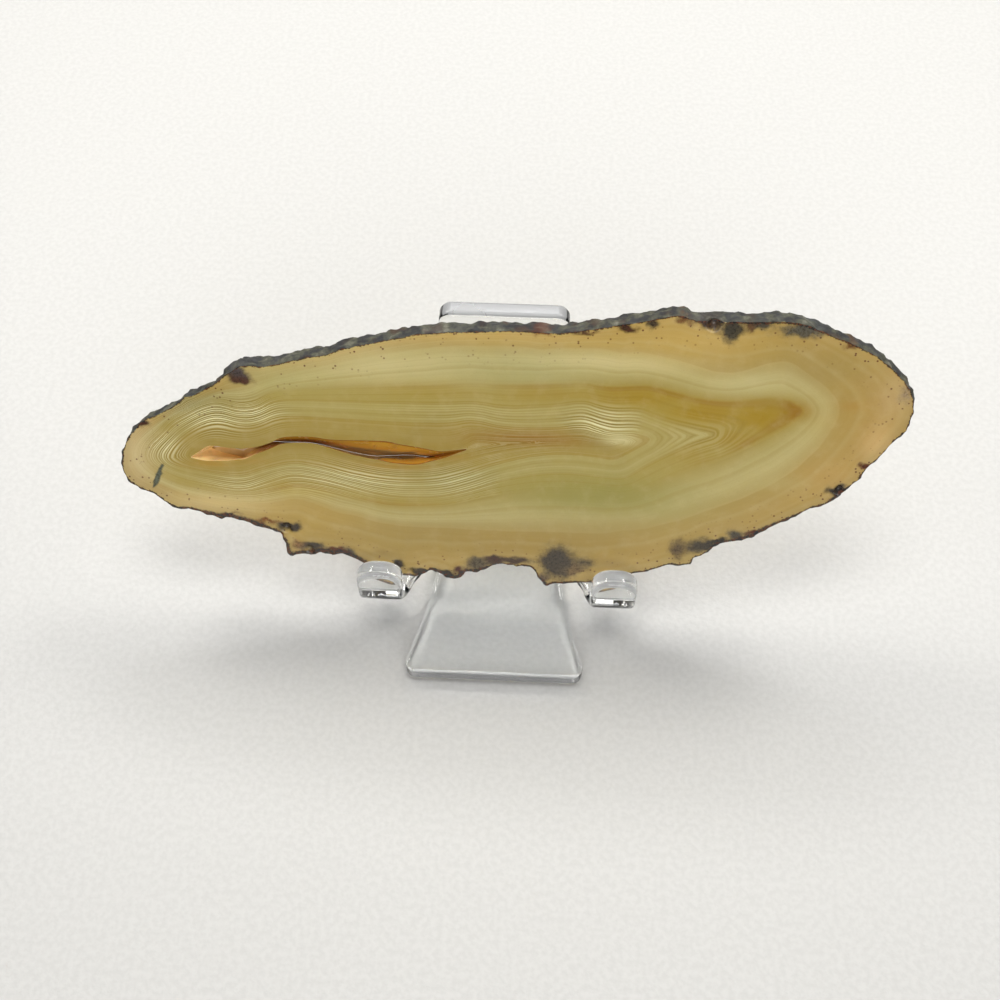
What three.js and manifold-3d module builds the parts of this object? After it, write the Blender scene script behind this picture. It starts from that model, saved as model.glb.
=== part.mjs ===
// A slice of banded agate leaning on a one-piece clear display stand.
// Millimetres, +Z up, front towards -Y. The stand's middle is at X = 0 and its base starts at Y = 0.

import * as THREE from 'three';
import { mergeVertices } from 'three/addons/utils/BufferGeometryUtils.js';
import Module from 'manifold-3d';

const wasm = await Module();
wasm.setup();

const degrees = Math.PI / 180;

// Stand: one sheet, cut and bent
const sheet = 3.8;
const panelLean = 6 * degrees;
const panelTop = 56.3;
const panelHalfWidth = 11.6;
const panelCorner = 2.3;
const shoulderHalfWidth = 24.5;
const shoulderLow = 17;
const shoulderHigh = 31;
const slotTop = 17;
const slotMiddle = 12.8;
const slotHalfWidth = 1.2;
const rearBendRadius = 3;

// Base tongue, from its front edge to the rear bend
const tongueFrontHalf = 15.3;
const tongueWidestHalf = 17;
const tongueWidestY = 2.6;
const tongueBackHalf = slotMiddle - slotHalfWidth;
const tongueTaper = 2.05;

// Arms and their hooks
const armTop = 8.15;
const armOuterFront = 26.6;
const armInnerBack = slotMiddle + slotHalfWidth;
const hookInner = 18;
const hookFrontY = 12.5;
const hookBendRadius = 1.8;
const lipTop = 17.3;
const lipCorner = 3.7;
const armFlareStartY = 16.5;
const armFlareEndY = 24;
const armFlare = 1.8;

// Slice: where its front face starts, how it leans, and how thick it is
const sliceThickness = 4;
const sliceLean = 26 * degrees;
const sliceFootY = 16.9;
const sliceFootZ = 10.5;
const leanGap = 0.3;
const sliceTopOnPanel = 51.7;

// The slice's front outline, clockwise from the left tip: along the slice, and up its face
const outline = [
  [-70.2, 22.5], [-69.8, 24.6], [-69.2, 26.4], [-68.1, 28.4], [-65.8, 31.0], [-64.3, 32.2],
  [-62.4, 33.0], [-60.0, 34.4], [-58.0, 35.7], [-57.0, 36.8], [-55.4, 37.2], [-53.2, 38.5],
  [-51.5, 39.4], [-49.9, 40.9], [-48.5, 42.0], [-46.6, 43.3], [-44.8, 43.5], [-42.9, 43.3],
  [-40.0, 43.9], [-34.3, 45.5], [-31.0, 46.1], [-28.3, 47.3], [-23.1, 48.6], [-15.0, 50.6],
  [-10.0, 51.2], [-5.0, 51.5], [0.0, 51.8], [5.0, 51.8], [10.0, 51.7], [15.0, 52.6],
  [20.0, 53.6], [25.0, 54.7], [29.0, 55.7], [31.2, 55.6], [33.0, 54.9], [40.0, 55.0],
  [44.5, 55.1], [47.3, 55.4], [49.8, 55.2], [51.8, 54.8], [54.5, 53.8], [60.5, 51.4],
  [64.6, 49.5], [66.8, 47.8], [69.8, 45.2], [71.4, 43.2], [72.2, 41.5], [72.7, 39.0],
  [72.2, 35.2], [70.7, 33.7], [68.2, 29.5], [66.2, 27.0], [65.3, 24.8], [63.3, 22.4],
  [60.2, 19.3], [57.3, 18.2], [54.8, 16.5], [49.8, 13.3], [47.6, 11.7], [45.6, 10.8],
  [41.0, 9.7], [40.1, 8.4], [38.5, 7.0], [37.1, 6.5], [36.6, 4.9], [35.0, 4.6], [32.5, 4.7],
  [30.6, 3.8], [28.5, 2.9], [26.0, 2.4], [22.5, 0.9], [19.5, 0.0], [15.4, -0.3], [12.2, -0.7],
  [10.5, -0.8], [9.5, -1.3], [8.8, -0.5], [7.7, 0.3], [7.4, 1.5], [6.3, 3.0], [4.5, 3.2],
  [3.5, 2.7], [2.9, 3.2], [0.8, 3.3], [-0.7, 3.0], [-2.5, 2.0], [-4.4, 1.3], [-6.1, 1.2],
  [-6.9, -0.1], [-8.5, -0.5], [-10.0, -0.2], [-11.0, 0.6], [-12.7, 1.4], [-14.0, 0.5],
  [-15.6, -0.3], [-20.5, -0.1], [-24.0, 1.2], [-27.1, 3.1], [-29.9, 4.3], [-31.0, 4.4],
  [-31.7, 3.8], [-34.1, 4.4], [-35.8, 3.7], [-37.4, 3.9], [-39.3, 3.5], [-40.6, 4.0],
  [-40.6, 5.8], [-41.5, 8.4], [-42.9, 9.0], [-47.8, 10.6], [-51.6, 11.7], [-52.7, 11.1],
  [-54.5, 11.9], [-58.7, 13.1], [-60.5, 13.0], [-62.4, 13.9], [-65.0, 16.3], [-66.8, 16.9],
  [-68.6, 18.0], [-69.6, 19.2], [-70.2, 20.8],
];

// Stations along the narrow hollow that runs through the slice:
// front place, front upper and lower edge, then the same three on the back face
const hollow = [
  [-57.0, 24.4, 24.3, -53.6, 24.6, 24.5],
  [-55.0, 25.9, 23.9, -52.6, 25.2, 24.0],
  [-53.2, 26.9, 23.8, -51.6, 25.6, 23.5],
  [-50.0, 26.6, 24.0, -49.4, 25.6, 23.0],
  [-48.3, 26.5, 24.3, -48.1, 25.6, 22.6],
  [-47.0, 26.6, 24.5, -47.0, 25.7, 23.7],
  [-44.6, 27.0, 25.7, -44.8, 26.1, 24.8],
  [-42.0, 28.0, 26.9, -42.2, 26.5, 25.7],
  [-39.6, 29.2, 28.0, -39.6, 26.2, 26.0],
  [-34.8, 29.5, 28.3, -35.0, 26.2, 26.0],
  [-31.0, 29.1, 27.4, -31.4, 25.6, 25.1],
  [-27.0, 29.1, 26.2, -27.6, 25.0, 23.9],
  [-22.2, 29.2, 25.3, -23.6, 24.3, 23.4],
  [-20.4, 29.1, 24.9, -22.2, 24.1, 23.8],
  [-18.6, 28.7, 24.7, -20.2, 24.2, 24.0],
  [-16.6, 28.4, 24.6, -18.2, 24.4, 24.1],
  [-14.6, 28.1, 24.8, -16.4, 24.5, 24.1],
  [-12.5, 27.7, 25.5, -15.0, 24.3, 24.1],
  [-10.4, 27.5, 26.2, -13.9, 24.2, 24.0],
  [-6.2, 28.2, 28.1, -12.9, 24.0, 23.9],
];

// Small open pits in the rim: place, height and radius
const pits = [
  [36.0, 54.4, 1.2],
  [-40.2, 9.9, 1.0],
  [-36.0, 5.2, 0.8],
  [-32.4, 4.6, 0.7],
  [62.0, 22.7, 0.9],
  [-16.8, 1.0, 0.7],
];

const pitLift = 0.15;

// Rim: a step round it, its levels from front to back, and how far it swells and roughens
const rimStep = 1.15;
const rimLevels = [0, 0.2, 0.5, 0.8, 1];
const rimBulge = 0.3;
const rindHeight = 0.4;
const faceEdgeShare = 0.25;
const rindWaves = [
  { share: 0.3, waves: 41, twist: 5, start: 0 },
  { share: 0.25, waves: 67, twist: -8, start: 1.3 },
  { share: 0.25, waves: 103, twist: 11, start: 2.1 },
  { share: 0.2, waves: 149, twist: -4, start: 0.7 },
];

// Above the left tip the rim slants inwards towards the back
const tipSlant = 0.7;
const tipSlantLeft = -50;
const tipSlantAbove = 22;

// The stretches of rim that lie in the hooks are nearly smooth
const restRough = 0.02;
const restInner = 13.5;
const restOuter = 28.5;
const restHeight = 3.2;

const standMaterial = new THREE.MeshStandardMaterial({
  color: 0xf1f3f4, roughness: 0.05, metalness: 0, transparent: true, opacity: 0.35,
});
const agateMaterial = new THREE.MeshStandardMaterial({ color: 0xb8a868, roughness: 0.15, metalness: 0 });

// Collects triangles as plain corner positions
class TriangleList {
  constructor() {
    this.corners = [];
  }

  triangle(a, b, c) {
    this.corners.push(...a, ...b, ...c);
  }

  quad(a, b, c, d) {
    this.triangle(a, b, c);
    this.triangle(a, c, d);
  }

  geometry() {
    const loose = new THREE.BufferGeometry();
    loose.setAttribute('position', new THREE.Float32BufferAttribute(this.corners, 3));
    return mergeVertices(loose, 1e-4);
  }
}

// A row across the sheet has a point on the near face, the direction to the far face and the two
// X values that it spans
function rowCorners(row) {
  const near = (x) => [x, row.y, row.z];
  const far = (x) => [x, row.y + row.farY * sheet, row.z + row.farZ * sheet];
  return { nearLeft: near(row.x0), nearRight: near(row.x1), farLeft: far(row.x0), farRight: far(row.x1) };
}

// Joins rows into a flat or bent run of the sheet, with side walls and end caps where asked
function addBand(list, rows, { leftWall = true, rightWall = true, firstCap = false, lastCap = false } = {}) {
  for (let i = 0; i + 1 < rows.length; i += 1) {
    const a = rowCorners(rows[i]);
    const b = rowCorners(rows[i + 1]);
    list.quad(a.nearLeft, b.nearLeft, b.nearRight, a.nearRight);
    list.quad(a.farLeft, a.farRight, b.farRight, b.farLeft);
    if (leftWall) list.quad(a.nearLeft, a.farLeft, b.farLeft, b.nearLeft);
    if (rightWall) list.quad(a.nearRight, b.nearRight, b.farRight, a.farRight);
  }
  const first = rowCorners(rows[0]);
  const last = rowCorners(rows[rows.length - 1]);
  if (firstCap) list.quad(first.nearLeft, first.nearRight, first.farRight, first.farLeft);
  if (lastCap) list.quad(last.nearLeft, last.farLeft, last.farRight, last.nearRight);
}

// The top of the slice's back meets the panel's front face here, seen from the side
const contactY = sliceFootY + sliceThickness * Math.cos(sliceLean) + sliceTopOnPanel * Math.sin(sliceLean);
const contactZ = sliceFootZ - sliceThickness * Math.sin(sliceLean) + sliceTopOnPanel * Math.cos(sliceLean);

function panelFrontY(z) {
  return contactY + leanGap + (z - contactZ) * Math.tan(panelLean);
}

function panelRow(z, x0, x1) {
  return { y: panelFrontY(z), z, farY: Math.cos(panelLean), farZ: -Math.sin(panelLean), x0, x1 };
}

// Half width of the sheet at a height on the panel: rounded top, straight sides, curved shoulders
function panelHalfAt(z) {
  const belowTop = panelTop - z;
  if (belowTop < panelCorner) {
    const side = panelCorner - belowTop;
    return panelHalfWidth - panelCorner + Math.sqrt(panelCorner ** 2 - side ** 2);
  }
  if (z >= shoulderHigh) return panelHalfWidth;
  if (z <= shoulderLow) return shoulderHalfWidth;
  const t = (z - shoulderLow) / (shoulderHigh - shoulderLow);
  const ease = 0.5 + 0.5 * Math.cos(Math.PI * t);
  return panelHalfWidth + (shoulderHalfWidth - panelHalfWidth) * ease;
}

// Rows of the rear bend, from the panel down to a flat run whose upper face is at height z
function bendRows(flatZ, x0, x1, steps = 8) {
  const turn = 90 * degrees - panelLean;
  const centreZ = flatZ + rearBendRadius;
  const endZ = centreZ - rearBendRadius * Math.cos(turn);
  const centreY = panelFrontY(endZ) - rearBendRadius * Math.sin(turn);
  const rows = [];
  for (let i = 0; i <= steps; i += 1) {
    const angle = turn * (1 - i / steps);
    rows.push({
      y: centreY + rearBendRadius * Math.sin(angle),
      z: centreZ - rearBendRadius * Math.cos(angle),
      farY: Math.sin(angle),
      farZ: -Math.cos(angle),
      x0,
      x1,
    });
  }
  return rows;
}

function flatRow(y, z, x0, x1) {
  return { y, z, farY: 0, farZ: -1, x0, x1 };
}

// Half width of the base tongue: flared sides that end in small rounded corners
function tongueHalfAt(y, bendY) {
  if (y < tongueWidestY) {
    const side = (tongueWidestY - y) / tongueWidestY;
    return tongueFrontHalf + (tongueWidestHalf - tongueFrontHalf) * Math.sqrt(1 - side ** 2);
  }
  const t = (y - tongueWidestY) / (bendY - tongueWidestY);
  return tongueBackHalf + (tongueWidestHalf - tongueBackHalf) * (1 - t) ** tongueTaper;
}

function addPanel(list) {
  const heights = [];
  const cornerSteps = 6;
  for (let i = 0; i <= cornerSteps; i += 1) {
    heights.push(panelTop - panelCorner * (1 - Math.cos((i / cornerSteps) * 90 * degrees)));
  }
  const shoulderSteps = 12;
  for (let i = 0; i <= shoulderSteps; i += 1) {
    heights.push(shoulderHigh + (slotTop - shoulderHigh) * (i / shoulderSteps));
  }
  const sideAt = (z) => panelHalfAt(z);
  const seamAt = (z) => (z <= slotTop ? slotMiddle : slotMiddle * (panelHalfAt(z) / shoulderHalfWidth));
  const left = heights.map((z) => panelRow(z, -sideAt(z), -seamAt(z)));
  const middle = heights.map((z) => panelRow(z, -seamAt(z), seamAt(z)));
  const right = heights.map((z) => panelRow(z, seamAt(z), sideAt(z)));
  addBand(list, left, { rightWall: false, firstCap: true });
  addBand(list, middle, { leftWall: false, rightWall: false, firstCap: true });
  addBand(list, right, { leftWall: false, firstCap: true });
}

// Heights of the rounded top of a slot, from its top down
function slotRoundHeights(steps = 4) {
  const rows = [];
  for (let i = 0; i <= steps; i += 1) {
    const angle = (i / steps) * 90 * degrees;
    rows.push({ z: slotTop - slotHalfWidth * (1 - Math.cos(angle)), open: slotHalfWidth * Math.sin(angle) });
  }
  return rows;
}

function addTongue(list) {
  const half = tongueBackHalf;
  const slotRows = slotRoundHeights();
  const rows = slotRows.map(({ z, open }) => panelRow(z, open - slotMiddle, slotMiddle - open));
  const bend = bendRows(sheet, -half, half);
  rows.push(...bend);
  const bendY = bend[bend.length - 1].y;
  const sideSteps = 12;
  for (let i = 1; i <= sideSteps; i += 1) {
    const y = bendY + (tongueWidestY - bendY) * (i / sideSteps);
    rows.push(flatRow(y, sheet, -tongueHalfAt(y, bendY), tongueHalfAt(y, bendY)));
  }
  const cornerSteps = 5;
  for (let i = 1; i <= cornerSteps; i += 1) {
    const y = tongueWidestY * (1 - Math.sin((i / cornerSteps) * 90 * degrees));
    rows.push(flatRow(y, sheet, -tongueHalfAt(y, bendY), tongueHalfAt(y, bendY)));
  }
  addBand(list, rows, { lastCap: true });
}

// The two edges of an arm along its flat run: the inner edge flares towards the middle behind the hook
function armEdgesAt(y, bendY) {
  const t = THREE.MathUtils.clamp((y - armFlareStartY) / (armFlareEndY - armFlareStartY), 0, 1);
  const back = THREE.MathUtils.clamp((y - armFlareStartY) / (bendY - armFlareStartY), 0, 1);
  return [
    hookInner + (armInnerBack - hookInner) * (1 - (1 - t) ** armFlare),
    armOuterFront + (shoulderHalfWidth - armOuterFront) * back,
  ];
}

function armRows() {
  const rows = slotRoundHeights().map(({ z, open }) => panelRow(z, slotMiddle + open, shoulderHalfWidth));
  const bend = bendRows(armTop, armInnerBack, shoulderHalfWidth);
  rows.push(...bend);
  const bendY = bend[bend.length - 1].y;
  const hookCentreY = hookFrontY + sheet + hookBendRadius;
  const flatSteps = 12;
  for (let i = 1; i <= flatSteps; i += 1) {
    const y = bendY + (hookCentreY - bendY) * (i / flatSteps);
    rows.push(flatRow(y, armTop, ...armEdgesAt(y, bendY)));
  }
  const hookSteps = 8;
  const hookCentreZ = armTop + hookBendRadius;
  for (let i = 1; i <= hookSteps; i += 1) {
    const angle = (i / hookSteps) * 90 * degrees;
    const y = hookCentreY - hookBendRadius * Math.sin(angle);
    rows.push({
      y,
      z: hookCentreZ - hookBendRadius * Math.cos(angle),
      farY: -Math.sin(angle),
      farZ: -Math.cos(angle),
      x0: armEdgesAt(y, bendY)[0],
      x1: armOuterFront,
    });
  }
  const lipSteps = 7;
  const lipInnerY = hookFrontY + sheet;
  for (let i = 0; i <= lipSteps; i += 1) {
    const angle = (i / lipSteps) * 90 * degrees;
    const inset = lipCorner * (1 - Math.cos(angle));
    const z = lipTop - lipCorner * (1 - Math.sin(angle));
    rows.push({ y: lipInnerY, z, farY: -1, farZ: 0, x0: hookInner + inset, x1: armOuterFront - inset });
  }
  return rows;
}

function mirrored(row) {
  return { ...row, x0: -row.x1, x1: -row.x0 };
}

function buildStand() {
  const list = new TriangleList();
  addPanel(list);
  addTongue(list);
  const rows = armRows();
  addBand(list, rows, { lastCap: true });
  addBand(list, rows.map(mirrored), { lastCap: true });
  const mesh = new THREE.Mesh(list.geometry(), standMaterial);
  mesh.name = 'display_stand';
  return mesh;
}

// Evenly spaced points round a closed outline
function resample(points, step) {
  const closed = [...points, points[0]].map(([x, y]) => new THREE.Vector2(x, y));
  const lengths = [0];
  for (let i = 1; i < closed.length; i += 1) {
    lengths.push(lengths[i - 1] + closed[i].distanceTo(closed[i - 1]));
  }
  const total = lengths[lengths.length - 1];
  const count = Math.round(total / step);
  const result = [];
  let span = 0;
  for (let i = 0; i < count; i += 1) {
    const at = (i / count) * total;
    while (lengths[span + 1] < at) span += 1;
    const t = (at - lengths[span]) / (lengths[span + 1] - lengths[span]);
    result.push(closed[span].clone().lerp(closed[span + 1], t));
  }
  return result;
}

// Unevenness of the weathered rind at a place round the rim (0 to 1) and a depth (0 to 1)
function rindNoise(around, depth) {
  const turn = around * 2 * Math.PI;
  let sum = 0;
  for (const { share, waves, twist, start } of rindWaves) {
    sum += share * Math.sin(waves * turn + twist * depth + start);
  }
  return sum;
}

function rimRing(points, depth) {
  const count = points.length;
  return points.map((point, i) => {
    const before = points[(i + count - 1) % count];
    const after = points[(i + 1) % count];
    const outward = new THREE.Vector2(-(after.y - before.y), after.x - before.x).normalize();
    const away = Math.abs(point.x);
    const resting = point.y < restHeight && away > restInner && away < restOuter;
    const slant = point.x < tipSlantLeft && point.y > tipSlantAbove ? -tipSlant * depth : 0;
    const swell = rimBulge * Math.sin(Math.PI * depth);
    const noise = rindNoise(i / count, depth);
    const rough = rindHeight * noise * (depth === 0 ? faceEdgeShare : 1);
    return point.clone().addScaledVector(outward, resting ? restRough * noise : swell + rough + slant);
  });
}

function hollowRing(back) {
  const offset = back ? 3 : 0;
  const upper = hollow.map((row) => new THREE.Vector2(row[offset], row[offset + 1]));
  const lower = hollow.map((row) => new THREE.Vector2(row[offset], row[offset + 2]));
  return [...upper, ...lower.reverse()];
}

// Places a point of the slice's own plane, with its depth behind the front face, in the part's frame
function onSlice(point, depth) {
  const up = new THREE.Vector3(0, Math.sin(sliceLean), Math.cos(sliceLean));
  const back = new THREE.Vector3(0, Math.cos(sliceLean), -Math.sin(sliceLean));
  return new THREE.Vector3(point.x, sliceFootY, sliceFootZ)
    .addScaledVector(up, point.y)
    .addScaledVector(back, depth)
    .toArray();
}

function addStrip(list, ring, ringDepth, next, nextDepth) {
  for (let i = 0; i < ring.length; i += 1) {
    const j = (i + 1) % ring.length;
    list.quad(onSlice(ring[i], ringDepth), onSlice(ring[j], ringDepth),
      onSlice(next[j], nextDepth), onSlice(next[i], nextDepth));
  }
}

function addFace(list, ring, hole, depth, facesFront) {
  const points = [...ring, ...hole];
  for (const [a, b, c] of THREE.ShapeUtils.triangulateShape(ring, [hole])) {
    const corners = [points[a], points[b], points[c]].map((p) => onSlice(p, depth));
    const area = (points[b].x - points[a].x) * (points[c].y - points[a].y)
      - (points[c].x - points[a].x) * (points[b].y - points[a].y);
    if ((area > 0) !== facesFront) corners.reverse();
    list.triangle(...corners);
  }
}

function toSolid(geometry) {
  const triVerts = new Uint32Array(geometry.index.array);
  const vertProperties = new Float32Array(geometry.attributes.position.array);
  return new wasm.Manifold(new wasm.Mesh({ numProp: 3, vertProperties, triVerts }));
}

function toGeometry(solid) {
  const { vertProperties, triVerts } = solid.getMesh();
  const geometry = new THREE.BufferGeometry();
  geometry.setAttribute('position', new THREE.BufferAttribute(vertProperties, 3));
  geometry.setIndex(new THREE.BufferAttribute(triVerts, 1));
  return geometry;
}

function pitSolid([u, v, radius]) {
  const ball = new THREE.IcosahedronGeometry(radius, 1);
  ball.deleteAttribute('normal');
  ball.deleteAttribute('uv');
  ball.translate(...onSlice(new THREE.Vector2(u, v), -pitLift * radius));
  return toSolid(mergeVertices(ball));
}

function buildSlice() {
  const list = new TriangleList();
  const points = resample(outline, rimStep);
  const rings = rimLevels.map((level) => rimRing(points, level));
  const last = rimLevels.length - 1;
  for (let i = 0; i < last; i += 1) {
    addStrip(list, rings[i], rimLevels[i] * sliceThickness, rings[i + 1], rimLevels[i + 1] * sliceThickness);
  }
  const frontHole = hollowRing(false);
  const backHole = hollowRing(true);
  addStrip(list, backHole, sliceThickness, frontHole, 0);
  addFace(list, rings[0], frontHole, 0, true);
  addFace(list, rings[last], backHole, sliceThickness, false);
  let solid = toSolid(list.geometry());
  for (const pit of pits) {
    solid = solid.subtract(pitSolid(pit));
  }
  const mesh = new THREE.Mesh(toGeometry(solid), agateMaterial);
  mesh.name = 'agate_slice';
  return mesh;
}

const group = new THREE.Group();
group.add(buildStand(), buildSlice());

// The origin is under the middle of the whole object, on the surface that it stands on
const box = new THREE.Box3().setFromObject(group);
group.position.set(-(box.min.x + box.max.x) / 2, -(box.min.y + box.max.y) / 2, -box.min.z);

export default group;
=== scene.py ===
import math

import bmesh
import bpy
import numpy as np
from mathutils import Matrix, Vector, noise
from mathutils.geometry import delaunay_2d_cdt


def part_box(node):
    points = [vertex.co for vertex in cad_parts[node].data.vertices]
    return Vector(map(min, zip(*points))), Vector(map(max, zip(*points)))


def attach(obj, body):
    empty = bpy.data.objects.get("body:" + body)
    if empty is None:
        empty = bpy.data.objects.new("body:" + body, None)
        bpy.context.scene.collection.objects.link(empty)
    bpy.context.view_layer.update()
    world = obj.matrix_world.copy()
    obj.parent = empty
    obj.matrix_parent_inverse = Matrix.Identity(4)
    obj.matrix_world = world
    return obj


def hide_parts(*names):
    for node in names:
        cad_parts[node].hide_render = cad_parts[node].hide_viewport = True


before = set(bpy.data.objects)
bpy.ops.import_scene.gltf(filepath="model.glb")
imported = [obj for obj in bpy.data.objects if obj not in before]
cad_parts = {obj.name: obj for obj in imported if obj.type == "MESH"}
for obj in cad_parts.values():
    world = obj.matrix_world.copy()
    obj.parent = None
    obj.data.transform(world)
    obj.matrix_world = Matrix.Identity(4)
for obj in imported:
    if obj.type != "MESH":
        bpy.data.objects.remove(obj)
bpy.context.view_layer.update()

# All sizes below are millimetres in the part's own directions, as the solids were drawn
MM = 0.001
STAND_LOW, STAND_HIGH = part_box("display_stand")
SLICE_LOW, SLICE_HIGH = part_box("agate_slice")
MIDDLE_X = (STAND_LOW.x + STAND_HIGH.x) / 2
FRONT_Y = STAND_LOW.y

# The slice: where its front face starts, how it leans, and how thick it is
THICKNESS = 4.0
LEAN = math.radians(26)
FOOT_Y = 16.9
FOOT_Z = 10.5

# The slice's front outline, clockwise from the left tip: along the slice, and up its face
OUTLINE = [
    (-70.2, 22.5), (-69.8, 24.6), (-69.2, 26.4), (-68.1, 28.4), (-65.8, 31), (-64.3, 32.2), (-62.4, 33),
    (-60, 34.4), (-58, 35.7), (-57, 36.8), (-55.4, 37.2), (-53.2, 38.5), (-51.5, 39.4), (-49.9, 40.9),
    (-48.5, 42), (-46.6, 43.3), (-44.8, 43.5), (-42.9, 43.3), (-40, 43.9), (-34.3, 45.5), (-31, 46.1),
    (-28.3, 47.3), (-23.1, 48.6), (-15, 50.6), (-10, 51.2), (-5, 51.5), (0, 51.8), (5, 51.8), (10, 51.7),
    (15, 52.6), (20, 53.6), (25, 54.7), (29, 55.7), (31.2, 55.6), (33, 54.9), (40, 55), (44.5, 55.1),
    (47.3, 55.4), (49.8, 55.2), (51.8, 54.8), (54.5, 53.8), (60.5, 51.4), (64.6, 49.5), (66.8, 47.8),
    (69.8, 45.2), (71.4, 43.2), (72.2, 41.5), (72.7, 39), (72.2, 35.2), (70.7, 33.7), (68.2, 29.5),
    (66.2, 27), (65.3, 24.8), (63.3, 22.4), (60.2, 19.3), (57.3, 18.2), (54.8, 16.5), (49.8, 13.3),
    (47.6, 11.7), (45.6, 10.8), (41, 9.7), (40.1, 8.4), (38.5, 7), (37.1, 6.5), (36.6, 4.9), (35, 4.6),
    (32.5, 4.7), (30.6, 3.8), (28.5, 2.9), (26, 2.4), (22.5, 0.9), (19.5, 0), (15.4, -0.3), (12.2, -0.7),
    (10.5, -0.8), (9.5, -1.3), (8.8, -0.5), (7.7, 0.3), (7.4, 1.5), (6.3, 3), (4.5, 3.2), (3.5, 2.7),
    (2.9, 3.2), (0.8, 3.3), (-0.7, 3), (-2.5, 2), (-4.4, 1.3), (-6.1, 1.2), (-6.9, -0.1), (-8.5, -0.5),
    (-10, -0.2), (-11, 0.6), (-12.7, 1.4), (-14, 0.5), (-15.6, -0.3), (-20.5, -0.1), (-24, 1.2),
    (-27.1, 3.1), (-29.9, 4.3), (-31, 4.4), (-31.7, 3.8), (-34.1, 4.4), (-35.8, 3.7), (-37.4, 3.9),
    (-39.3, 3.5), (-40.6, 4), (-40.6, 5.8), (-41.5, 8.4), (-42.9, 9), (-47.8, 10.6), (-51.6, 11.7),
    (-52.7, 11.1), (-54.5, 11.9), (-58.7, 13.1), (-60.5, 13), (-62.4, 13.9), (-65, 16.3), (-66.8, 16.9),
    (-68.6, 18), (-69.6, 19.2), (-70.2, 20.8),
]

# Stations along the narrow hollow that runs through the slice:
# front place, front upper and lower edge, then the same three on the back face
HOLLOW = [
    (-57, 24.4, 24.3, -53.6, 24.6, 24.5), (-55, 25.9, 23.9, -52.6, 25.2, 24),
    (-53.2, 26.9, 23.8, -51.6, 25.6, 23.5), (-50, 26.6, 24, -49.4, 25.6, 23),
    (-48.3, 26.5, 24.3, -48.1, 25.6, 22.6), (-47, 26.6, 24.5, -47, 25.7, 23.7),
    (-44.6, 27, 25.7, -44.8, 26.1, 24.8), (-42, 28, 26.9, -42.2, 26.5, 25.7),
    (-39.6, 29.2, 28, -39.6, 26.2, 26), (-34.8, 29.5, 28.3, -35, 26.2, 26),
    (-31, 29.1, 27.4, -31.4, 25.6, 25.1), (-27, 29.1, 26.2, -27.6, 25, 23.9),
    (-22.2, 29.2, 25.3, -23.6, 24.3, 23.4), (-20.4, 29.1, 24.9, -22.2, 24.1, 23.8),
    (-18.6, 28.7, 24.7, -20.2, 24.2, 24), (-16.6, 28.4, 24.6, -18.2, 24.4, 24.1),
    (-14.6, 28.1, 24.8, -16.4, 24.5, 24.1), (-12.5, 27.7, 25.5, -15, 24.3, 24.1),
    (-10.4, 27.5, 26.2, -13.9, 24.2, 24), (-6.2, 28.2, 28.1, -12.9, 24, 23.9),
]

# Small open pits in the rim: place, height and radius
PITS = [
    (36, 54.4, 1.2), (-40.2, 9.9, 1), (-36, 5.2, 0.8), (-32.4, 4.6, 0.7), (62, 22.7, 0.9), (-16.8, 1, 0.7),
]
PIT_LIFT = 0.15

# Rim: how far it swells and roughens between the two faces, and how much of that reaches the front edge
RIM_BULGE = 0.3
RIND_HEIGHT = 0.4
FACE_EDGE_SHARE = 0.25
# Waves of the rind: share, count round the rim, twist with depth, start
RIND_WAVES = [(0.3, 41, 5, 0), (0.25, 67, -8, 1.3), (0.25, 103, 11, 2.1), (0.2, 149, -4, 0.7)]
# Grit on the rind: height, scale round the rim and through it, and the noise it is cut from
GRIT_HEIGHT, GRIT_SCALE, GRIT_DEPTH_SCALE = 0.17, 0.8, 3.2
GRIT_LIFT, GRIT_MOST = 0.45, 1.4
# The left tip's upper rim slants in towards the back
TIP_SLANT, TIP_SLANT_LEFT, TIP_SLANT_ABOVE = 0.7, -50, 22
# Where the rim rests on the stand's arms it stays smooth and a hair inside the outline
REST_ROUGH, REST_INSET, REST_INNER, REST_OUTER, REST_HEIGHT = 0.02, 0.03, 13.5, 28.5, 3.2

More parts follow.
